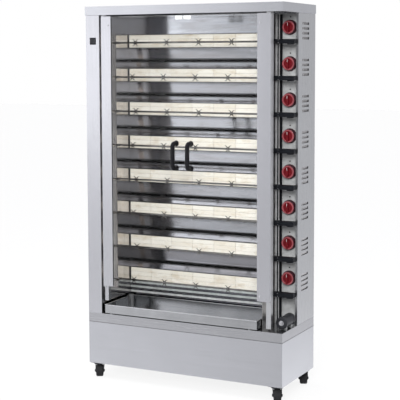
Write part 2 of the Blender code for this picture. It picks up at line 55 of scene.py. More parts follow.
BASE_LO, BASE_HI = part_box("base_cabinet")
FRONT = BASE_LO.y
BACK = BASE_HI.y
LEFT = BASE_LO.x
RIGHT = BASE_HI.x
WALL_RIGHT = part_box("right_cavity_wall")[0].x
PANEL_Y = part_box("control_panel")[0].y
PITCH = JOINTS["spit_2_spin"]["pos_m"][2] - JOINTS["spit_1_spin"]["pos_m"][2]
BURNER_RISE = 9 * MM
BURNER_TALL = 69 * MM
SHARP_ANGLE = math.radians(35)
X, Y, Z = Vector((1, 0, 0)), Vector((0, 1, 0)), Vector((0, 0, 1))


def mm(*points):
    """Points of a profile given in millimetres."""
    return [(a * MM, b * MM) for a, b in points]


def joint_point(name):
    return Vector(JOINTS[name]["pos_m"])


def spit_point(row):
    """A point on a spit's axis; rows count from 0 at the bottom."""
    return joint_point("spit_%d_spin" % (row + 1))


def burner_height(row):
    """The height of a burner's middle."""
    return spit_point(row).z + BURNER_RISE


def knob_point(row):
    """Where a knob's axis meets the control panel's front face."""
    return joint_point("knob_%d_turn" % (row + 1))


# ---------------------------------------------------------------- materials
COLOR_A, COLOR_B, COLOR_RESULT = 6, 7, 2  # a Mix node's colour sockets


class Recipe:
    """A node material with a Principled shader and short helpers for its nodes."""

    def __init__(self, name, color, roughness, metallic=0.0):
        self.material = bpy.data.materials.new(name)
        self.material.use_nodes = True
        self.tree = self.material.node_tree
        self.shader = self.tree.nodes["Principled BSDF"]
        self.set("Base Color", (*color, 1.0))
        self.set("Roughness", roughness)
        self.set("Metallic", metallic)
        self.place = self.node("ShaderNodeTexCoord").outputs["Object"]

    def node(self, kind, **settings):
        made = self.tree.nodes.new(kind)
        for key, value in settings.items():
            setattr(made, key, value)
        return made

    def set(self, socket, value):
        self.shader.inputs[socket].default_value = value

    def link(self, source, target):
        self.tree.links.new(source, target)

    def noise(self, scale, detail=3.0, roughness=0.55):
        """Noise of a scale per metre, which may differ along X, Y and Z."""
        stretch = self.node("ShaderNodeMapping")
        stretch.inputs["Scale"].default_value = scale
        self.link(self.place, stretch.inputs["Vector"])
        made = self.node("ShaderNodeTexNoise")
        made.inputs["Scale"].default_value = 1.0
        made.inputs["Detail"].default_value = detail
        made.inputs["Roughness"].default_value = roughness
        self.link(stretch.outputs["Vector"], made.inputs["Vector"])
        return made.outputs["Fac"]

    def span(self, factor, low, high, start=0.3, end=0.7):
        made = self.node("ShaderNodeMapRange")
        made.inputs["From Min"].default_value = start
        made.inputs["From Max"].default_value = end
        made.inputs["To Min"].default_value = low
        made.inputs["To Max"].default_value = high
        self.link(factor, made.inputs["Value"])
        return made.outputs["Result"]

    def tint(self, factor, dark, light, start=0.3, end=0.7):
        """Colour between two tones, along a factor."""
        made = self.node("ShaderNodeValToRGB")
        ramp = made.color_ramp
        ramp.elements[0].position = start
        ramp.elements[0].color = (*dark, 1.0)
        ramp.elements[1].position = end
        ramp.elements[1].color = (*light, 1.0)
        self.link(factor, made.inputs["Fac"])
        return made.outputs["Color"]

    def mix(self, factor, first, second, kind="MIX"):
        made = self.node("ShaderNodeMix", data_type="RGBA", blend_type=kind)
        if isinstance(factor, float):
            made.inputs["Factor"].default_value = factor
        else:
            self.link(factor, made.inputs["Factor"])
        for color, socket in ((first, made.inputs[COLOR_A]), (second, made.inputs[COLOR_B])):
            if isinstance(color, tuple):
                socket.default_value = (*color, 1.0)
            else:
                self.link(color, socket)
        return made.outputs[COLOR_RESULT]

    def bump(self, height, strength, depth):
        made = self.node("ShaderNodeBump")
        made.inputs["Strength"].default_value = strength
        made.inputs["Distance"].default_value = depth
        self.link(height, made.inputs["Height"])
        self.link(made.outputs["Normal"], self.shader.inputs["Normal"])


def scaled(color, share):
    return tuple(min(1.0, channel * share) for channel in color)


def brushed_steel(name, color, roughness, grain, contrast=0.10, smudge=0.08, strength=0.06):
    """Sheet steel brushed along one axis, with faint smudges."""
    made = Recipe(name, color, roughness, 1.0)
    along = {"x": (6, 500, 500), "z": (500, 500, 6)}[grain]
    wide = {"x": (1.5, 60, 60), "z": (60, 60, 1.5)}[grain]
    fine = made.noise(along, 4.0)
    streaks = made.noise(wide, 3.0)
    smears = made.noise((4, 4, 4), 4.0, 0.6)
    tone = made.tint(streaks, scaled(color, 1 - contrast), scaled(color, 1 + contrast * 0.4))
    marks = made.tint(smears, scaled((1, 1, 1), 1 - smudge), (1, 1, 1), 0.35, 0.6)
    made.link(made.mix(1.0, tone, marks, "MULTIPLY"), made.shader.inputs["Base Color"])
    made.link(made.span(fine, roughness - 0.02, roughness + 0.04), made.shader.inputs["Roughness"])
    made.bump(fine, strength, 0.02 * MM)
    return made.material


def moulded(name, color, roughness, grain=900, strength=0.15, coat=0.0):
    """Moulded plastic or paint, with a fine grain and slight unevenness."""
    made = Recipe(name, color, roughness)
    fine = made.noise((grain, grain, grain), 2.0)
    broad = made.noise((35, 35, 35), 3.0)
    tone = made.tint(broad, scaled(color, 0.82), scaled(color, 1.15))
    made.link(tone, made.shader.inputs["Base Color"])
    made.link(made.span(fine, roughness - 0.05, roughness + 0.08), made.shader.inputs["Roughness"])
    made.bump(fine, strength, 0.08 * MM)
    made.set("Coat Weight", coat)
    made.set("Coat Roughness", 0.12)
    return made.material


def heated_steel_with_painted_bands(name, color, roughness, soot):
    """Polished reflector steel, browned in patches, with painted reflection and shade in bands: painted shade
    at each flue slot, lighter painted reflection bands between, darker towards the bottom rows, and painted
    light levels above the top burner and below the bottom one.
    """
    made = Recipe(name, color, roughness, 1.0)
    patches = made.noise((5, 5, 30), 5.0, 0.6)
    fine = made.noise((9, 500, 500), 4.0)
    height = made.node("ShaderNodeSeparateXYZ")
    made.link(made.place, height.inputs["Vector"])
    level = height.outputs["Z"]
    start = burner_height(0) - PITCH
    for operation, value in (("SUBTRACT", start), ("DIVIDE", PITCH), ("FRACT", 0.0)):
        step = made.node("ShaderNodeMath", operation=operation)
        made.link(level, step.inputs[0])
        step.inputs[1].default_value = value
        level = step.outputs["Value"]
    bands = made.node("ShaderNodeValToRGB")
    ramp = bands.color_ramp
    # the stops are (share of the pitch above a burner's middle, brightness of the painted reflection and
    # shade)
    stops = ((0.20, 0.80), (0.35, 0.78), (0.39, 0.16), (0.47, 0.14),
             (0.51, 1.0), (0.70, 1.0), (0.76, 0.74), (0.81, 0.42))
    ramp.elements[0].position, ramp.elements[1].position = stops[0][0], stops[-1][0]
    for place, share in stops[1:-1]:
        ramp.elements.new(place)
    for element, (place, share) in zip(ramp.elements, stops):
        element.color = (share, share * 0.985, share, 1.0)
    made.link(level, bands.inputs["Fac"])
    # painted shade: darker towards the bottom rows, in the part of each pitch above its flue slot
    darker_toward_bottom = made.span(height.outputs["Z"], 0.24, 1.0,
                       spit_point(0).z + PITCH * 0.3, spit_point(0).z + PITCH * 4.8)
    upper_half = made.span(level, 0.0, 1.0, 0.48, 0.51)
    panels = made.mix(1.0, bands.outputs["Color"], made.mix(upper_half, (1, 1, 1), darker_toward_bottom), "MULTIPLY")
    # painted light levels: near white above the top burner and light grey below the bottom one, in place of
    # the banded reflection
    over = burner_height(ROWS - 1) + BURNER_TALL * 0.56
    under = burner_height(0) - BURNER_TALL * 0.54
    shaded = made.mix(made.span(height.outputs["Z"], 0.0, 1.0, over - 4 * MM, over + 4 * MM),
                      panels, (0.98, 0.98, 1.0))
    shaded = made.mix(made.span(height.outputs["Z"], 0.0, 1.0, under - 4 * MM, under + 4 * MM),
                      (0.85, 0.85, 0.87), shaded)
    clean = made.tint(fine, scaled(color, 0.94), scaled(color, 1.03))
    browned = made.tint(fine, scaled(soot, 0.9), scaled(soot, 1.1))
    share = made.span(patches, 0.0, 0.40, 0.45, 0.75)
    blend = made.mix(share, clean, browned)
    made.link(made.mix(1.0, blend, shaded, "MULTIPLY"), made.shader.inputs["Base Color"])
    made.link(made.span(patches, roughness, roughness + 0.10), made.shader.inputs["Roughness"])
    made.bump(fine, 0.04, 0.08 * MM)
    return made.material


def perforated_ceramic(name):
    """Infrared burner tiles: cream, finely holed with painted shade in each hole, and each a little
    different.
    """
    made = Recipe(name, (0.88, 0.80, 0.70), 0.85)
    island = made.node("ShaderNodeNewGeometry").outputs["Random Per Island"]
    tone = made.tint(island, (0.87, 0.785, 0.69), (0.95, 0.88, 0.81), 0.0, 1.0)
    stains = made.noise((14, 14, 40), 5.0, 0.65)
    stain = made.tint(stains, (0.84, 0.79, 0.72), (1, 1, 1), 0.30, 0.50)
    holes = made.node("ShaderNodeTexVoronoi", feature="F1")
    holes.inputs["Scale"].default_value = 420.0
    holes.inputs["Randomness"].default_value = 0.15
    made.link(made.place, holes.inputs["Vector"])
    # painted shade: a darker tone in each pore
    pore_painted_shade = made.tint(holes.outputs["Distance"], (0.72, 0.66, 0.56), (1, 1, 1), 0.18, 0.38)
    stained = made.mix(1.0, tone, stain, "MULTIPLY")
    made.link(made.mix(1.0, stained, pore_painted_shade, "MULTIPLY"), made.shader.inputs["Base Color"])
    made.bump(holes.outputs["Distance"], 0.5, 0.6 * MM)
    return made.material


def clear_glass(name):
    """Tempered door glass: clear, faintly tinted, and mirroring more at a slant."""
    tint = (0.972, 0.985, 0.980)
    made = Recipe(name, tint, 0.04)
    clear = made.node("ShaderNodeBsdfTransparent")
    clear.inputs["Color"].default_value = (*tint, 1.0)
    gloss = made.node("ShaderNodeBsdfGlossy")
    gloss.inputs["Color"].default_value = (1, 1, 1, 1)
    made.link(made.span(made.noise((3, 3, 5), 4.0, 0.6), 0.01, 0.05), gloss.inputs["Roughness"])
    slant = made.node("ShaderNodeLayerWeight")
    slant.inputs["Blend"].default_value = 0.5
    steep = made.node("ShaderNodeMath", operation="POWER")
    made.link(slant.outputs["Facing"], steep.inputs[0])
    steep.inputs[1].default_value = 5.0
    mirrored = made.node("ShaderNodeMath", operation="MULTIPLY_ADD")
    made.link(steep.outputs["Value"], mirrored.inputs[0])
    mirrored.inputs[1].default_value = 0.9
    mirrored.inputs[2].default_value = 0.007
    blend = made.node("ShaderNodeMixShader")
    made.link(mirrored.outputs["Value"], blend.inputs["Fac"])
    made.link(clear.outputs["BSDF"], blend.inputs[1])
    made.link(gloss.outputs["BSDF"], blend.inputs[2])
    made.link(blend.outputs["Shader"], made.tree.nodes["Material Output"].inputs["Surface"])
    made.tree.nodes.remove(made.shader)
    return made.material


STEEL_Z = brushed_steel("stainless_upright_grain", (0.63, 0.635, 0.66), 0.22, "z", 0.02, 0.03, 0.01)
STEEL_X = brushed_steel("stainless_cross_grain", (0.62, 0.63, 0.655), 0.22, "x", 0.02, 0.03, 0.01)
STEEL_SIDE = brushed_steel("stainless_side_grain", (0.60, 0.61, 0.62), 0.28, "z", 0.02, 0.04, 0.01)
STEEL_WALL = brushed_steel("cavity_wall_steel", (0.78, 0.75, 0.74), 0.10, "z", 0.10, 0.25, 0.03)
STEEL_DECK = brushed_steel("stainless_deck_grain", (0.51, 0.515, 0.53), 0.24, "x", 0.02, 0.03, 0.01)
STEEL_TRAY = brushed_steel("tray_steel", (0.60, 0.61, 0.62), 0.13, "x", 0.06, 0.15, 0.0)
STEEL_BAY = moulded("bay_panel_satin", (0.60, 0.61, 0.61), 0.45, 700, 0.05)
REFLECTOR = heated_steel_with_painted_bands("reflector_steel", (0.66, 0.655, 0.69), 0.08, (0.36, 0.31, 0.28))
HOUSING = brushed_steel("burner_housing_steel", (0.34, 0.33, 0.33), 0.26, "x", 0.15, 0.3)
PLENUM = brushed_steel("sooty_plenum_steel", (0.05, 0.048, 0.046), 0.5, "x", 0.3, 0.4)
POLISHED = brushed_steel("polished_tube", (0.74, 0.74, 0.76), 0.12, "z", 0.04, 0.05, 0.02)
SPIT_STEEL = brushed_steel("spit_steel", (0.30, 0.28, 0.27), 0.26, "x", 0.2, 0.3)
CERAMIC = perforated_ceramic("burner_tile_ceramic")
GLASS = clear_glass("door_glass_clear")
BLACK = moulded("black_handle_plastic", (0.008, 0.008, 0.010), 0.50, 900, 0.10)
BLACK_DULL = moulded("black_housing_plastic", (0.009, 0.010, 0.013), 0.52)
DARK_METAL = moulded("dark_zinc", (0.05, 0.052, 0.058), 0.42, 500, 0.2)
RED = moulded("red_knob_plastic", (0.16, 0.007, 0.012), 0.40, 900, 0.06)
# painted highlight: the cap rim is a lighter red than the dish, for the lit ring round each knob
RED_RIM_HIGHLIGHT = moulded("red_rim_painted_highlight_plastic", (0.38, 0.095, 0.110), 0.34, 900, 0.06, 0.2)
MAROON = moulded("dark_maroon_plastic", (0.045, 0.005, 0.012), 0.42)
RUBBER = moulded("caster_rubber", (0.022, 0.022, 0.023), 0.72, 400, 0.3)
GREY_PLASTIC = moulded("caster_hub_plastic", (0.07, 0.07, 0.075), 0.5)
WHITE = moulded("white_catch_plastic", (0.86, 0.87, 0.88), 0.35)
for made, socket, value in ((STEEL_BAY, "Metallic", 0.25), (DARK_METAL, "Metallic", 0.7),
                            (BLACK, "Specular IOR Level", 0.22), (BLACK_DULL, "Specular IOR Level", 0.22),
                            (RUBBER, "Specular IOR Level", 0.22)):
    made.node_tree.nodes["Principled BSDF"].inputs[socket].default_value = value


# ---------------------------------------------------------------- mesh helpers
def add_box(shape, low, high, bevel=0.8 * MM, segments=2):
    """A box with rounded edges, added to a bmesh."""
    low, high = Vector(low), Vector(high)
    place = Matrix.Translation((low + high) / 2) @ Matrix.Diagonal((*(high - low), 1.0))
    made = bmesh.ops.create_cube(shape, size=1.0, matrix=place)
    edges = list(dict.fromkeys(edge for vert in made["verts"] for edge in vert.link_edges))
    bmesh.ops.bevel(shape, geom=edges, offset=bevel, segments=segments, profile=0.6,
                    affect="EDGES", clamp_overlap=True)


def basis(axis):
    """A matrix whose Z runs along an axis."""
    return Vector(axis).to_track_quat("Z", "Y").to_matrix().to_4x4()


def add_circle(shape, place, radius, height, sides):
    """A ring of corners round the local Z axis of a place."""
    ring = []
    for k in range(sides):
        angle = 2 * math.pi * k / sides
        spot = Vector((radius * math.cos(angle), radius * math.sin(angle), height))
        ring.append(shape.verts.new(place @ spot))
    return ring


def add_band(shape, lower, upper):
    """A band of four-sided faces between two rings of as many corners."""
    count = len(lower)
    for k in range(count):
        m = (k + 1) % count
        shape.faces.new((lower[k], lower[m], upper[m], upper[k]))


def add_turned(shape, profile, centre, axis, sides=48):
    """A turned body: the profile is (radius, height) from its lower end to its upper end."""
    place = Matrix.Translation(centre) @ basis(axis)
    rings = []
    for radius, height in profile:
        if radius < 1e-6:
            rings.append([shape.verts.new(place @ Vector((0, 0, height)))])
            continue
        rings.append(add_circle(shape, place, radius, height, sides))
    for lower, upper in zip(rings, rings[1:]):
        if len(lower) > 1 and len(upper) > 1:
            add_band(shape, lower, upper)
            continue
        for k in range(sides):
            m = (k + 1) % sides
            if len(lower) == 1:
                shape.faces.new((lower[0], upper[m], upper[k]))
            else:
                shape.faces.new((lower[k], lower[m], upper[0]))


def add_closed_turn(shape, loop, centre, axis, sides):
    """A turned ring from a closed loop of (radius, height) points."""
    place = Matrix.Translation(centre) @ basis(axis)
    rings = [add_circle(shape, place, radius, height, sides) for radius, height in loop]
    for lower, upper in zip(rings, rings[1:] + rings[:1]):
        add_band(shape, lower, upper)


def add_rod(shape, start, end, radius, sides):
    """A round bar with chamfered ends."""
    start, end = Vector(start), Vector(end)
    length = (end - start).length
    chamfer = min(0.5 * MM, radius * 0.6, length * 0.4)
    profile = [(0, 0), (radius - chamfer, 0), (radius, chamfer), (radius, length - chamfer),
               (radius - chamfer, length), (0, length)]
    add_turned(shape, profile, start, end - start, sides)


def add_tube(shape, points, radii, sides=16):
    """A tube through points; radii is one radius, or one for each point."""
    points = [Vector(point) for point in points]
    if not isinstance(radii, (list, tuple)):
        radii = [radii] * len(points)
    rings = []
    side = None
    for k, point in enumerate(points):
        before = points[max(k - 1, 0)]
        after = points[min(k + 1, len(points) - 1)]
        along = (after - before).normalized()
        if side is None:
            side = along.orthogonal().normalized()
        side = (side - along * side.dot(along)).normalized()
        other = along.cross(side)
        ring = []
        for step in range(sides):
            angle = 2 * math.pi * step / sides
            offset = side * math.cos(angle) + other * math.sin(angle)
            ring.append(shape.verts.new(point + offset * radii[k]))
        rings.append(ring)
    for lower, upper in zip(rings, rings[1:]):
        add_band(shape, lower, upper)
    shape.faces.new(list(reversed(rings[0])))
    shape.faces.new(rings[-1])


def add_screw(shape, centre, axis, radius, height=2 * MM):
    """A pan-head screw seen on a sheet, with a socket."""
    profile = [(0, 0), (radius, 0), (radius, height * 0.35), (radius * 0.86, height * 0.8),
               (radius * 0.6, height), (radius * 0.42, height), (radius * 0.36, height * 0.35),
               (0, height * 0.35)]
    add_turned(shape, profile, centre, axis, 20)


def add_sheet(shape, path, start, end, thickness, axis="x"):
    """Folded sheet metal: a path across one axis, thickened to one side and run along that axis."""
    def spot(level, a, b):
        return {"x": (level, a, b), "y": (a, level, b)}[axis]

    count = len(path)
    offsets = []
    for k in range(count):
        before = Vector(path[max(k - 1, 0)])
        after = Vector(path[min(k + 1, count - 1)])
        here = Vector(path[k])
        first = (here - before).normalized() if k else (after - here).normalized()
        second = (after - here).normalized() if k < count - 1 else first
        normal = Vector((-(first.y + second.y), first.x + second.x))
        normal.normalize()
        stretch = 1 / max(0.35, normal.dot(Vector((-first.y, first.x))))
        offsets.append(here + normal * thickness * stretch)
    outline = [Vector(point) for point in path] + list(reversed(offsets))
    low = [shape.verts.new(spot(start, p.x, p.y)) for p in outline]
    high = [shape.verts.new(spot(end, p.x, p.y)) for p in outline]
    total = len(outline)
    add_band(shape, low, high)
    for k in range(count - 1):
        a, b, c, d = k, k + 1, total - 2 - k, total - 1 - k
        shape.faces.new((low[a], low[d], low[c], low[b]))
        shape.faces.new((high[a], high[b], high[c], high[d]))


def piece(name, shape, finish, body, replaced=()):
    """Turn a bmesh into a finished piece that rides on a body."""
    bmesh.ops.recalc_face_normals(shape, faces=shape.faces)
    mesh = bpy.data.meshes.new(name)
    shape.to_mesh(mesh)
    shape.free()
    mesh.materials.append(finish)
    mesh.shade_smooth()
    mesh.set_sharp_from_angle(angle=SHARP_ANGLE)
    made = bpy.data.objects.new(name, mesh)
    bpy.context.scene.collection.objects.link(made)
    even = made.modifiers.new("flat_faces_stay_flat", "WEIGHTED_NORMAL")
    even.keep_sharp = True
    even.weight = 100
    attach(made, body)
    if replaced:
        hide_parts(*replaced)
    return made


def soften(node, name, finish, body, bevel=0.7 * MM, segments=2):
    """A finished copy of a CAD node with its flat faces merged and its edges rounded."""
    shape = bmesh.new()
    shape.from_mesh(frame["nodes"][node].data)
    bmesh.ops.remove_doubles(shape, verts=shape.verts, dist=0.00001)
    bmesh.ops.dissolve_limit(shape, angle_limit=math.radians(0.5), verts=shape.verts,
                             edges=shape.edges, delimit={"NORMAL"})
    shape.normal_update()
    sharp = [edge for edge in shape.edges
             if len(edge.link_faces) == 2 and edge.calc_face_angle(0.0) > SHARP_ANGLE]
    bmesh.ops.bevel(shape, geom=sharp, offset=bevel, segments=segments, profile=0.6,
                    affect="EDGES", clamp_overlap=True)
    return piece(name, shape, finish, body, (node,))


# ---------------------------------------------------------------- camera and studio
def make_camera():
    """A long lens in front of the right corner, a little above the middle."""
    data = bpy.data.cameras.new("camera")
    data.lens = 102.81
    data.sensor_width = 36.0
    data.shift_y = -0.10
    data.clip_end = 60.0
    camera = bpy.data.objects.new("camera", data)
    bpy.context.scene.collection.objects.link(camera)
    yaw, pitch, roll = math.radians(26.853), math.radians(-5.097), math.radians(-0.162)
    turn = Matrix.Rotation(yaw, 4, "Z") @ Matrix.Rotation(math.pi / 2 + pitch, 4, "X") \
        @ Matrix.Rotation(roll, 4, "Z")
    camera.matrix_world = Matrix.Translation((2.6491, -5.2045, 1.6750)) @ turn
    bpy.context.scene.camera = camera


def area_light(name, spot, target, size, power):
    """A soft box that lights matt surfaces and is not mirrored in polished ones."""
    data = bpy.data.lights.new(name, "AREA")
    data.shape = "RECTANGLE"
    data.size, data.size_y = size
    data.energy = power
    light = bpy.data.objects.new(name, data)
    bpy.context.scene.collection.objects.link(light)
    light.location = spot
    light.rotation_euler = (Vector(target) - Vector(spot)).to_track_quat("-Z", "Y").to_euler()
    light.visible_glossy = False


def facing(azimuth):
    """A level direction: azimuth from the front (-Y) toward the left (-X), in degrees."""
    angle = math.radians(azimuth)
    return Vector((-math.sin(angle), -math.cos(angle), 0))


class Sky:
    """The studio as seen by reflections: levels put together from soft-edged panels."""

    def __init__(self, tree):
        self.tree = tree
        self.direction = tree.nodes.new("ShaderNodeTexCoord").outputs["Generated"]

    def beyond(self, axis, start, end):
        """0 to 1 as the angle above the plane across an axis goes from start to end, in degrees."""
        dot = self.tree.nodes.new("ShaderNodeVectorMath")
        dot.operation = "DOT_PRODUCT"
        dot.inputs[1].default_value = axis
        self.tree.links.new(self.direction, dot.inputs[0])
        step = self.tree.nodes.new("ShaderNodeMapRange")
        step.interpolation_type = "SMOOTHSTEP"
        low, high = math.sin(math.radians(start)), math.sin(math.radians(end))
        if low > high:
            low, high = high, low
            step.inputs["To Min"].default_value = 1.0
            step.inputs["To Max"].default_value = 0.0
        step.inputs["From Min"].default_value = low
        step.inputs["From Max"].default_value = high
        self.tree.links.new(dot.outputs["Value"], step.inputs["Value"])
        return step.outputs["Result"]

    def math(self, operation, first, second):
        made = self.tree.nodes.new("ShaderNodeMath")
        made.operation = operation
        for value, socket in ((first, made.inputs[0]), (second, made.inputs[1])):
            if isinstance(value, float):
                socket.default_value = value
            else:
                self.tree.links.new(value, socket)
        return made.outputs["Value"]

    def panel(self, amount, *edges):
        """A soft-edged panel: its amount of light where it is beyond every edge."""
        level = amount
        for edge in edges:
            level = self.math("MULTIPLY", edge, level)
        return level


def make_world():
    """White behind the object; in reflections a grey studio with a bright panel at the front left."""
    world = bpy.data.worlds.new("studio")
    bpy.context.scene.world = world
    world.use_nodes = True
    tree = world.node_tree
    tree.nodes.clear()
    sky = Sky(tree)
    left = sky.beyond(facing(118), -5.5, 3.5)
    right = sky.beyond(facing(-62), -5.0, 3.5)
    behind = sky.beyond(facing(-153), 40.0, 65.0)
    fade = sky.math("SUBTRACT", 1.0, sky.panel(0.50, sky.beyond(Z, 0.0, 3.5)))
    level = 0.39
    for amount, *edges in (
            (0.15, sky.beyond(facing(118), -6.0, 5.0)),
            (1.33, left, sky.beyond(facing(50), 5.0, 30.0), sky.beyond(Z, -7.5, -3.0), fade),
            (0.16, right, sky.beyond(Z, -12.0, -7.0)),
            (0.36, left, sky.beyond(Z, -11.5, -14.5)),
            (0.55, sky.beyond(facing(27), 35.0, 60.0), sky.beyond(Z, -18.0, -25.0)),
            (0.07, behind),
            (0.55, behind, sky.beyond(Z, -15.0, -19.5)),
            (0.30, sky.beyond(Z, 12.0, 50.0))):
        level = sky.math("ADD", level, sky.panel(amount, *edges))
    shade = sky.math("SUBTRACT", 1.0, sky.panel(0.28, sky.beyond(facing(-27), 42.0, 58.0)))
    level = sky.math("MULTIPLY", level, shade)
    tone = tree.nodes.new("ShaderNodeCombineColor")
    for socket, share in zip(tone.inputs, (0.99, 0.99, 1.03)):
        tree.links.new(sky.math("MULTIPLY", level, share), socket)
    studio = tree.nodes.new("ShaderNodeBackground")
    tree.links.new(tone.outputs["Color"], studio.inputs["Color"])
    backdrop = tree.nodes.new("ShaderNodeBackground")
    backdrop.inputs["Color"].default_value = (1, 1, 1, 1)
    seen = tree.nodes.new("ShaderNodeLightPath").outputs["Is Camera Ray"]
    blend = tree.nodes.new("ShaderNodeMixShader")
    tree.links.new(seen, blend.inputs["Fac"])
    tree.links.new(studio.outputs["Background"], blend.inputs[1])
    tree.links.new(backdrop.outputs["Background"], blend.inputs[2])
    out = tree.nodes.new("ShaderNodeOutputWorld")
    tree.links.new(blend.outputs["Shader"], out.inputs["Surface"])


def make_studio():
    """The world, a faint matt floor that only takes shadows, and two soft boxes."""
    make_world()
    shape = bmesh.new()
    bmesh.ops.create_grid(shape, x_segments=1, y_segments=1, size=30.0)
    mesh = bpy.data.meshes.new("studio_floor")
    shape.to_mesh(mesh)
    shape.free()
    floor = bpy.data.objects.new("studio_floor", mesh)
    bpy.context.scene.collection.objects.link(floor)
    sheer = bpy.data.materials.new("studio_floor_gauze")
    sheer.use_nodes = True
    tree = sheer.node_tree
    tree.nodes.remove(tree.nodes["Principled BSDF"])
    matt = tree.nodes.new("ShaderNodeBsdfDiffuse")
    matt.inputs["Color"].default_value = (0.95, 0.95, 0.95, 1.0)
    clear = tree.nodes.new("ShaderNodeBsdfTransparent")
    blend = tree.nodes.new("ShaderNodeMixShader")
    blend.inputs["Fac"].default_value = 0.13
    tree.links.new(clear.outputs["BSDF"], blend.inputs[1])
    tree.links.new(matt.outputs["BSDF"], blend.inputs[2])
    tree.links.new(blend.outputs["Shader"], tree.nodes["Material Output"].inputs["Surface"])
    mesh.materials.append(sheer)
    area_light("key_light", (2.3, -5.4, 3.0), (0.0, 0, 0.9), (2.2, 1.8), 300)
    area_light("top_light", (0.0, -1.0, 4.6), (0, 0.1, 0.8), (3.4, 2.4), 60)
    scene = bpy.context.scene
    scene.view_settings.view_transform = "Standard"
    scene.view_settings.look = "None"


# ---------------------------------------------------------------- casing
def make_casing():
    """The cabinet's sheets, and a dark strip as painted shadow in the joint line between the deck and the
    base.
    """
    soften("base_cabinet", "base_cabinet_sheet", STEEL_X, "root")
    soften("body_deck", "body_deck_sheet", STEEL_DECK, "root")
    lo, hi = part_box("body_deck")
    proud = 0.3 * MM
    # painted shadow: a thin dark strip round the deck's lower edge, for the shade in the joint
    shape = bmesh.new()
    for left, front, right, back in ((lo.x, lo.y, hi.x, lo.y), (lo.x, hi.y, hi.x, hi.y),
                                     (lo.x, lo.y, lo.x, hi.y), (hi.x, lo.y, hi.x, hi.y)):
        add_box(shape, (left - proud, front - proud, lo.z - 1.4 * MM),
                (right + proud, back + proud, lo.z + 0.4 * MM), 0.1 * MM, 1)
    piece("deck_shadow_joint", shape, PLENUM, "root")
    for node, name, finish, slot, bevel in (
            ("left_side_panel", "left_side_sheet", STEEL_Z, "stainless", 0.7),
            ("right_side_panel", "right_side_sheet", STEEL_SIDE, "stainless", 0.5),
            ("back_panel", "back_sheet", STEEL_Z, "stainless", 0.7),
            ("top_cap", "top_cap_sheet", STEEL_X, "stainless", 0.7),
            ("control_panel", "control_panel_sheet", STEEL_BAY, "stainless", 0.4),
            ("base_frame", "base_frame_steel", DARK_METAL, "dark_metal", 0.7),
            ("left_door_post", "left_door_post_sheet", STEEL_Z, "stainless", 0.4),
            ("right_door_post", "right_door_post_sheet", STEEL_SIDE, "stainless", 0.4)):
        soften(node, name, finish, "root", bevel * MM)


def make_louvres():
    """A blade that slants inward from the top of each louvre slot of the right side panel, in darker steel as
    painted shade of the slot.
    """
    shape = bmesh.new()
    slot_front, slot_back = FRONT + 0.2455, FRONT + 0.3335
    group_rise, slot_gap, slot_half = 0.052, 0.024, 6 * MM
    inside = RIGHT - 2.2 * MM
    for row in range(ROWS):
        for slot in range(4):
            top = spit_point(row).z + group_rise + (slot - 1.5) * slot_gap + slot_half
            blade = [(inside, top), (inside - 1 * MM, top - 1 * MM), (inside - 3.5 * MM, top - 15 * MM)]
            add_sheet(shape, blade, slot_front, slot_back, 0.8 * MM, "y")
    # painted shade: the blades take the darker burner-housing steel
    piece("louvre_blades", shape, HOUSING, "root")


def make_fixings():
    """Screws that hold the back and the base, and the blank badge with its ribs."""
    shape = bmesh.new()
    for x in (LEFT + 0.04, RIGHT - 0.04):
        for share in (0.12, 0.5, 0.88):
            z = BASE_LO.z + (BASE_HI.z - BASE_LO.z) * share
            add_screw(shape, (x, BACK, z), Y, 3.5 * MM)
    back_lo, back_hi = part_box("back_panel")
    for x in (LEFT + 0.015, 0.0, RIGHT - 0.015):
        for k in range(6):
            z = back_lo.z + 0.03 + (back_hi.z - back_lo.z - 0.06) * k / 5
            add_screw(shape, (x, BACK, z), Y, 3.5 * MM, 1.6 * MM)
    piece("rear_screws", shape, POLISHED, "root")
    shape = bmesh.new()
    badge_left, badge_low, badge_side = LEFT + 0.024, 1.745, 0.036
    add_box(shape, (badge_left, FRONT - 1.6 * MM, badge_low),
            (badge_left + badge_side, FRONT + 0.1 * MM, badge_low + badge_side), 1.0 * MM)
    piece("blank_badge", shape, BLACK_DULL, "root")
    shape = bmesh.new()
    for k in range(4):
        x = badge_left + 0.006 + 0.008 * k
        add_box(shape, (x - 1.2 * MM, FRONT - 2.1 * MM, badge_low + 0.006),
                (x + 1.2 * MM, FRONT - 1.5 * MM, badge_low + badge_side - 0.006), 0.2 * MM, 1)
    piece("badge_ribs", shape, GREY_PLASTIC, "root")


# ---------------------------------------------------------------- doors
def make_doors():
    """Each door's stile with its screws, its pane, its handle and the white catch plate."""
    for side, name in ((-1, "left"), (1, "right")):
        body = name + "_door"
        soften(name + "_door_stile", name + "_stile_sheet", STEEL_Z, body, 0.4 * MM)
        soften(name + "_door_glass", name + "_glass_pane", GLASS, body, 0.5 * MM)
        lo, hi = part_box(name + "_door_stile")
        inner = hi.x if side < 0 else lo.x
        shape = bmesh.new()
        for z in (lo.z + 0.025, hi.z - 0.045):
            add_screw(shape, (inner + side * 0.016, lo.y, z), -Y, 4.5 * MM, 2.2 * MM)
        piece(name + "_stile_screws", shape, POLISHED, body)
        pane_lo, pane_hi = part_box(name + "_door_glass")
        edge = pane_hi.x if side < 0 else pane_lo.x
        make_handle(name, body, pane_lo.y)
        shape = bmesh.new()
        catch_x = edge + side * 0.022
        add_box(shape, (catch_x - 0.0195, pane_lo.y - 2.4 * MM, pane_hi.z - 0.020),
                (catch_x + 0.0195, pane_lo.y - 0.1 * MM, pane_hi.z - 0.002), 1.0 * MM)
        piece(name + "_catch_plate", shape, WHITE, body)


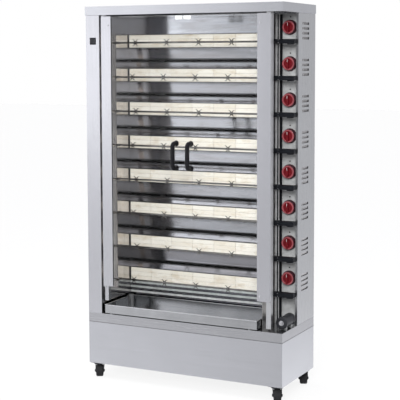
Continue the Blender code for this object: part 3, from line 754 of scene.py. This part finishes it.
def make_handle(name, body, glass_front):
    """A bent black pull with flared feet, and its two nuts behind the glass."""
    lo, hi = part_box(name + "_door_handle")
    x = (lo.x + hi.x) / 2
    radius = (hi.x - lo.x) / 2
    grip_y = lo.y + radius
    middle, reach = (lo.z + hi.z) / 2, (hi.z - lo.z) / 2 - radius
    bend = 18 * MM
    steps = 10
    half = [(glass_front - 0.2 * MM, reach), (grip_y + bend, reach)]
    for step in range(1, steps + 1):
        angle = math.pi / 2 * step / steps
        half.append((grip_y + bend * (1 - math.sin(angle)), reach - bend * (1 - math.cos(angle))))
    route = half + [(y, -z) for y, z in reversed(half)]
    shape = bmesh.new()
    add_tube(shape, [(x, y, middle + z) for y, z in route], radius * 0.98, 28)
    foot = [(0, 0), (radius * 1.25, 0), (radius * 1.25, 2 * MM), (radius, 6 * MM), (0, 6 * MM)]
    for way in (-1, 1):
        add_turned(shape, foot, (x, glass_front - 0.1 * MM, middle + way * reach), -Y, 36)
    piece(name + "_pull_handle", shape, BLACK, body, (name + "_door_handle",))
    shape = bmesh.new()
    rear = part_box(name + "_door_glass")[1].y
    nut = mm((0, 0), (8, 0), (8, 1.2), (5.5, 1.8), (5.5, 5), (4, 6), (0, 6))
    for way in (-1, 1):
        add_turned(shape, nut, (x, rear + 0.1 * MM, middle + way * reach), Y, 24)
    piece(name + "_handle_nuts", shape, POLISHED, body)


# ---------------------------------------------------------------- oven cavity
def make_cavity():
    """The oven's inner sheets, with the reflectors and the burner housings."""
    for node, name, finish, slot, bevel, segments in (
            ("left_cavity_wall", "left_wall_sheet", STEEL_WALL, "stainless", 0.4, 2),
            ("right_cavity_wall", "right_wall_sheet", STEEL_WALL, "stainless", 0.3, 2),
            ("ceiling_panel", "ceiling_sheet", STEEL_WALL, "stainless", 0.4, 2),
            ("cavity_back_wall", "plenum_sheet", PLENUM, "stainless", 0.4, 2),
            ("reflector_panel", "reflector_sheet", REFLECTOR, "polished_steel", 0.3, 1),
            ("burner_bank", "burner_housings", HOUSING, "polished_steel", 0.4, 1),
            ("left_spit_rail", "spit_rail_bar", STEEL_WALL, "stainless", 0.6, 2)):
        soften(node, name, finish, "root", bevel * MM, segments)


def make_burner_tiles():
    """Seven ceramic tiles for each row, each pressed in three bands, and the wires that hold them."""
    lo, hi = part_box("burner_bank")
    count = 7
    width = (hi.x - lo.x - 8 * MM) / count
    front = lo.y
    bands = 3
    tall = (BURNER_TALL - 2 * MM) / bands
    for row in range(ROWS):
        centre = burner_height(row)
        shape = bmesh.new()
        for k in range(count):
            left = lo.x + 4 * MM + width * k + 0.6 * MM
            right = left + width - 1.2 * MM
            for band in range(bands):
                z = centre + (band - (bands - 1) / 2) * tall
                add_box(shape, (left, front - 3.4 * MM, z - tall / 2 + 0.35 * MM),
                        (right, front - 0.3 * MM, z + tall / 2 - 0.35 * MM), 0.9 * MM)
        piece("burner_tiles_%d" % (row + 1), shape, CERAMIC, "root")
    shape = bmesh.new()
    for row in range(ROWS):
        for way in (-1, 1):
            z = burner_height(row) + way * (BURNER_TALL / 2 + 0.2 * MM)
            add_box(shape, (lo.x, front - 4.4 * MM, z - 0.9 * MM),
                    (hi.x, front - 0.2 * MM, z + 0.9 * MM), 0.4 * MM)
    piece("tile_retainers", shape, HOUSING, "root")
    shape = bmesh.new()
    bottom = burner_height(0) - BURNER_TALL / 2
    for drop in (14 * MM, 39 * MM, 65 * MM):
        z = bottom - drop
        add_sheet(shape, [(front, z + 7 * MM), (front - 5 * MM, z + 3 * MM), (front - 5 * MM, z - 3 * MM)],
                  lo.x, hi.x, 0.8 * MM)
    piece("lower_ledges", shape, STEEL_BAY, "root")


def make_igniters():
    """A spark electrode with its white insulator at the right end of each burner."""
    lo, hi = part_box("burner_bank")
    front = lo.y
    white = bmesh.new()
    wire = bmesh.new()
    x = hi.x - 0.05
    for row in range(ROWS):
        z = burner_height(row) - BURNER_TALL / 2 - 6 * MM
        add_rod(white, (x, front - 2 * MM, z - 0.012), (x, front - 6 * MM, z + 0.006), 3.2 * MM, 16)
        add_tube(wire, [(x, front - 6 * MM, z + 0.006), (x, front - 8 * MM, z + 0.016),
                        (x - 0.004, front - 7 * MM, z + 0.024)], 0.9 * MM, 8)
    piece("igniter_insulators", white, WHITE, "root")
    piece("igniter_wires", wire, SPIT_STEEL, "root")


def make_tray():
    """A folded pan with a rolled rim, two runners and the round drain pipe."""
    lo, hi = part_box("grease_tray")
    sheet = 1.0 * MM
    floor = lo.z + 2.7 * MM
    top = floor + 44 * MM
    rim = 2.2 * MM
    shape = bmesh.new()
    add_box(shape, (lo.x + rim, lo.y + rim, floor), (hi.x - rim, hi.y - rim, floor + sheet), 0.3 * MM, 1)
    for y in (lo.y + rim, hi.y - rim - sheet):
        add_box(shape, (lo.x + rim, y, floor), (hi.x - rim, y + sheet, top), 0.3 * MM, 1)
    for x in (lo.x + rim, hi.x - rim - sheet):
        add_box(shape, (x, lo.y + rim, floor), (x + sheet, hi.y - rim, top), 0.3 * MM, 1)
    piece("grease_tray_pan", shape, STEEL_TRAY, "grease_tray", ("grease_tray",))
    shape = bmesh.new()
    corners = [(lo.x + rim, lo.y + rim), (hi.x - rim, lo.y + rim),
               (hi.x - rim, hi.y - rim), (lo.x + rim, hi.y - rim)]
    for (ax, ay), (bx, by) in zip(corners, corners[1:] + corners[:1]):
        add_rod(shape, (ax, ay, top), (bx, by, top), rim, 12)
    piece("tray_rolled_rim", shape, STEEL_SIDE, "grease_tray")
    shape = bmesh.new()
    runner_width, inset = 12 * MM, 5 * MM
    for offset in (0.03, 0.82):
        add_box(shape, (lo.x + offset, lo.y + inset, lo.z),
                (lo.x + offset + runner_width, hi.y - inset, floor + 0.2 * MM), 0.4 * MM, 1)
    piece("tray_runners", shape, STEEL_SIDE, "grease_tray")
    x, y = lo.x + 0.061, FRONT + 0.175
    radius, wall = 15 * MM, 1.2 * MM
    reach = hi.z - floor
    shape = bmesh.new()
    add_closed_turn(shape, [(radius - wall, 0.2 * MM), (radius + 6 * MM, 0.2 * MM), (radius + 6 * MM, 2 * MM),
                            (radius, 3 * MM), (radius, reach - 0.5 * MM), (radius - 0.4 * MM, reach),
                            (radius - wall, reach)], (x, y, floor), Z, 48)
    piece("tray_drain_pipe", shape, STEEL_SIDE, "grease_tray")


# ---------------------------------------------------------------- spits and drives
def make_spit(row):
    """A round bar with a pointed left end, a drive collar, and five double forks."""
    body = "spit_%d" % (row + 1)
    lo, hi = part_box(body)
    centre = spit_point(row)
    radius = 4.9 * MM
    shape = bmesh.new()
    profile = [(0, 0), (1.5 * MM, 0.5 * MM), (radius, 9 * MM), (radius, hi.x - lo.x - 1 * MM),
               (radius - 1 * MM, hi.x - lo.x), (0, hi.x - lo.x)]
    add_turned(shape, profile, (lo.x, centre.y, centre.z), X, 24)
    piece(body + "_bar", shape, SPIT_STEEL, body, (body,))
    shape = bmesh.new()
    collar = mm((0, 0), (11, 0), (12, 1), (12, 7), (8, 9), (8, 15), (0, 15))
    add_turned(shape, collar, (WALL_RIGHT - 0.022, centre.y, centre.z), X, 32)
    boss = mm((0, -7), (7, -7), (8, -6), (8, 6), (7, 7), (0, 7))
    shift = 0.010 * (1 if row % 2 else -1)
    forks, fork_gap = 5, 0.185
    for k in range(forks):
        x = (k - (forks - 1) / 2) * fork_gap + shift
        add_turned(shape, boss, (x, centre.y, centre.z), X, 24)
        add_rod(shape, (x, centre.y - 7 * MM, centre.z), (x, centre.y - 12 * MM, centre.z), 2.5 * MM, 12)
        for way in (-1, 1):
            for up in (-1, 1):
                prong = [(x + way * out * MM, centre.y, centre.z + up * high * MM)
                         for out, high in ((2, 5), (6, 10), (11, 14.5), (18, 17.5))]
                add_tube(shape, prong, [2.6 * MM, 2.3 * MM, 1.8 * MM, 0.5 * MM], 10)
    piece(body + "_forks", shape, SPIT_STEEL, body)


def make_gearmotor(row):
    """A black gear housing with cooling ribs, a motor can below its right end, and its screws."""
    node = "gearmotor_%d" % (row + 1)
    lo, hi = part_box(node)
    centre = spit_point(row)
    half = 10.9 * MM
    shape = bmesh.new()
    add_box(shape, (lo.x, lo.y, centre.z - half), (hi.x, hi.y, centre.z + half), 2.5 * MM, 3)
    can_x, can_y = hi.x - 0.026, (lo.y + hi.y) / 2
    can = mm((0, 0), (15, 0), (17.5, 1.2), (18, 6), (18, 12), (0, 12))
    add_turned(shape, can, (can_x, can_y, lo.z), Z, 40)
    for k in range(5):
        x = lo.x + 0.050 + k * 7 * MM
        add_box(shape, (x - 1.2 * MM, lo.y - 0.2 * MM, centre.z - 7.5 * MM),
                (x + 1.2 * MM, lo.y + 3 * MM, centre.z + 7.5 * MM), 0.3 * MM, 1)
    piece(node + "_housing", shape, BLACK_DULL, "root", (node,))
    shape = bmesh.new()
    for x in (lo.x + 7 * MM, lo.x + 40 * MM):
        for way in (-1, 1):
            add_screw(shape, (x, lo.y + 0.1 * MM, centre.z + way * 6.5 * MM), -Y, 2.2 * MM, 1.2 * MM)
    piece(node + "_screws", shape, POLISHED, "root")


# ---------------------------------------------------------------- drive bay
def make_knob(row):
    """A knob in pieces: black skirt with its stem, red cap painted lighter as a highlight ring, deep red dish
    with its grip, and a pointer.
    """
    body = "knob_%d" % (row + 1)
    spot = knob_point(row)
    shape = bmesh.new()
    skirt = mm((0, -18), (3, -18), (3, 1.2), (35.5, 1.2), (37, 2.4), (37, 7.6), (35.8, 9), (33.8, 9.8),
               (33.5, 11), (32.8, 27.4), (30, 28), (0, 28))
    add_turned(shape, skirt, spot, -Y, 64)
    piece(body + "_skirt", shape, MAROON, body, (body,))
    shape = bmesh.new()
    cap = mm((23.8, 26.5), (32.6, 26.5), (32.4, 29.4), (31.4, 31.2), (29.6, 32), (26.4, 31.6), (24.6, 30.2))
    add_closed_turn(shape, cap, spot, -Y, 64)
    piece(body + "_cap", shape, RED_RIM_HIGHLIGHT, body)
    shape = bmesh.new()
    dish = mm((0, 27.6), (24.2, 27.8), (24, 29), (0, 28.8))
    add_turned(shape, dish, spot, -Y, 48)
    add_box(shape, (spot.x - 5.5 * MM, spot.y - 42 * MM, spot.z - 25.5 * MM),
            (spot.x + 5.5 * MM, spot.y - 24 * MM, spot.z + 25.5 * MM), 2.4 * MM, 3)
    piece(body + "_grip", shape, RED, body)
    shape = bmesh.new()
    add_box(shape, (spot.x - 0.9 * MM, spot.y - 42.3 * MM, spot.z + 8 * MM),
            (spot.x + 0.9 * MM, spot.y - 41.7 * MM, spot.z + 22 * MM), 0.2 * MM, 1)
    piece(body + "_pointer", shape, WHITE, body)


def make_bay():
    """Index dots, the riser with a collar at each row, the conduit, the ignition cable and the taps."""
    shape = bmesh.new()
    dot = mm((0, 0), (3.6, 0), (3.6, 0.5), (3.2, 0.8), (0, 0.8))
    for row in range(ROWS):
        spot = knob_point(row) + Z * 0.052
        add_turned(shape, dot, (spot.x, PANEL_Y - 0.1 * MM, spot.z), -Y, 20)
    piece("index_dots", shape, BLACK, "root")
    lo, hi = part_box("gas_riser")
    centre = (lo + hi) / 2
    radius = (hi.x - lo.x) / 2
    shape = bmesh.new()
    profile = [(0, 0), (radius - 0.5 * MM, 0), (radius, 0.5 * MM)]
    for row in range(ROWS):
        z = spit_point(row).z - lo.z
        for dz, grow in ((-0.016, 0), (-0.0155, 1.6), (-0.006, 1.6), (-0.0055, 0), (0.0055, 0), (0.006, 1.6),
                         (0.0155, 1.6), (0.016, 0)):
            profile.append((radius + grow * MM * 0.5, z + dz))
    profile += [(radius, hi.z - lo.z - 0.5 * MM), (0, hi.z - lo.z)]
    add_turned(shape, profile, (centre.x, centre.y, lo.z), Z, 40)
    piece("gas_riser_pipe", shape, STEEL_BAY, "root", ("gas_riser",))
    lo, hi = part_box("cable_conduit")
    centre = (lo + hi) / 2
    radius = (hi.x - lo.x) / 2
    pitch = 5 * MM
    profile = [(0, 0)]
    for k in range(int((hi.z - lo.z) / pitch)):
        profile += [(radius - 1.1 * MM, k * pitch), (radius - 1.1 * MM, (k + 0.3) * pitch),
                    (radius, (k + 0.5) * pitch), (radius, (k + 0.8) * pitch)]
    profile.append((0, hi.z - lo.z))
    shape = bmesh.new()
    add_turned(shape, profile, (centre.x, centre.y, lo.z), Z, 20)
    piece("corrugated_conduit", shape, BLACK_DULL, "root", ("cable_conduit",))
    shape = bmesh.new()
    riser_lo, riser_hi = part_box("gas_riser")
    cable = (riser_hi.x - 3 * MM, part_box("gearmotor_1")[1].y + 4 * MM)
    add_rod(shape, (*cable, riser_lo.z + 2 * MM), (*cable, riser_hi.z - 2 * MM), 3.3 * MM, 16)
    piece("ignition_cable", shape, BLACK_DULL, "root")
    soften("gas_tap_bank", "gas_taps_and_feeds", DARK_METAL, "root", 0.6 * MM)
    make_regulator()


def make_regulator():
    """The regulator lying on the bay's floor: banded body, bright centre plug and two saddles."""
    lo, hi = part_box("gas_regulator")
    x = (lo.x + hi.x) / 2
    radius = 30 * MM
    z = hi.z - radius
    front, back = lo.y + 0.012, hi.y
    length = back - front
    shape = bmesh.new()
    profile = [(0, 0), (20 * MM, 0), (21 * MM, 2 * MM), (27 * MM, 2 * MM), (radius, 5 * MM),
               (radius, 20 * MM), (28 * MM, 22 * MM), (28 * MM, length - 22 * MM), (radius, length - 20 * MM),
               (radius, length - 4 * MM), (26 * MM, length), (0, length)]
    add_turned(shape, profile, (x, front, z), Y, 56)
    piece("regulator_body", shape, DARK_METAL, "root", ("gas_regulator",))
    shape = bmesh.new()
    plug = mm((0, 0), (7, 0), (9, 1.5), (9, 11), (13, 11.5), (13, 13.5), (0, 13.5))
    add_turned(shape, plug, (x, lo.y, z), Y, 32)
    piece("regulator_plug", shape, POLISHED, "root")
    shape = bmesh.new()
    for y in (front + 0.022, back - 0.028):
        add_box(shape, (x - 0.018, y, lo.z), (x + 0.018, y + 0.012, z - 0.020), 1.0 * MM)
    piece("regulator_saddles", shape, STEEL_BAY, "root")


# ---------------------------------------------------------------- casters
def make_caster(corner):
    """A swivel bracket with its axle nuts, a rubber tyre and a plastic hub."""
    fork_body = "caster_fork_" + corner
    wheel_body = "caster_wheel_" + corner
    pivot = joint_point("caster_%s_swivel" % corner)
    hub = joint_point("caster_%s_roll" % corner)
    side = Vector(JOINTS["caster_%s_roll" % corner]["axis"]).normalized()
    shape = bmesh.new()
    head = mm((0, -8), (27, -8), (30, -7.4), (31.5, -5.6), (31.5, -3), (28, -1.6), (21, -1.2),
              (21, -0.2), (0, -0.2))
    add_turned(shape, head, pivot, Z, 48)
    back = Vector((hub.x - pivot.x, hub.y - pivot.y, 0)).normalized()
    arm_gap, thick = 19.5 * MM, 3 * MM
    nut = mm((0, 0), (7, 0), (7, 2.2), (5.5, 4), (0, 4.4))
    for way in (-1, 1):
        add_fork_arm(shape, pivot, hub, back, side * way, arm_gap, thick)
        spot = hub + side * way * (arm_gap + thick - 0.2 * MM)
        add_turned(shape, nut, spot, side * way, 6 if way > 0 else 24)
    add_rod(shape, hub - side * arm_gap, hub + side * arm_gap, 3.9 * MM, 20)
    piece(fork_body + "_bracket", shape, DARK_METAL, fork_body, (fork_body,))
    radius, half = hub.z, 18 * MM
    shape = bmesh.new()
    tread = [(radius - 8 * MM, -half + 1.5 * MM), (radius - 4 * MM, -half),
             (radius - 1.2 * MM, -half + 2.5 * MM), (radius, -half + 6 * MM),
             (radius, half - 6 * MM), (radius - 1.2 * MM, half - 2.5 * MM),
             (radius - 4 * MM, half), (radius - 8 * MM, half - 1.5 * MM)]
    add_closed_turn(shape, tread, hub, side, 56)
    piece(wheel_body + "_tyre", shape, RUBBER, wheel_body, (wheel_body,))
    shape = bmesh.new()
    core = [(4.6 * MM, -half), (9 * MM, -half), (10 * MM, -half + 3 * MM),
            (radius - 9.5 * MM, -half + 4.5 * MM),
            (radius - 8.2 * MM, -half + 1.6 * MM), (radius - 8.2 * MM, half - 1.6 * MM),
            (radius - 9.5 * MM, half - 4.5 * MM), (10 * MM, half - 3 * MM), (9 * MM, half), (4.6 * MM, half)]
    add_closed_turn(shape, core, hub, side, 48)
    piece(wheel_body + "_hub", shape, GREY_PLASTIC, wheel_body)


def add_fork_arm(shape, pivot, hub, back, side, arm_gap, thick):
    """One side of a fork: wide at the head, curving in to a round end below the axle."""
    top = pivot.z - 6 * MM
    outline = [(-25 * MM, top), (21 * MM, top), (20 * MM, top - 10 * MM)]
    run = (Vector((hub.x, hub.y, 0)) - Vector((pivot.x, pivot.y, 0))).length
    for step in range(9):
        angle = math.radians(20 - step * 27.5)
        outline.append((run + 12 * MM * math.cos(angle), hub.z + 10 * MM * math.sin(angle)))
    outline.append((-22 * MM, top - 12 * MM))
    faces = []
    for depth in (arm_gap, arm_gap + thick):
        base = Vector((pivot.x, pivot.y, 0)) + side * depth
        faces.append([shape.verts.new(base + back * u + Z * z) for u, z in outline])
    near, far = faces
    shape.faces.new(near)
    shape.faces.new(list(reversed(far)))
    for k in range(len(outline)):
        m = (k + 1) % len(outline)
        shape.faces.new((near[k], far[k], far[m], near[m]))


# ---------------------------------------------------------------- build everything
make_camera()
make_studio()
make_casing()
make_louvres()
make_fixings()
make_doors()
make_cavity()
make_burner_tiles()
make_igniters()
make_tray()
for index in range(ROWS):
    make_spit(index)
    make_gearmotor(index)
    make_knob(index)
make_bay()
for place in CORNERS:
    make_caster(place)
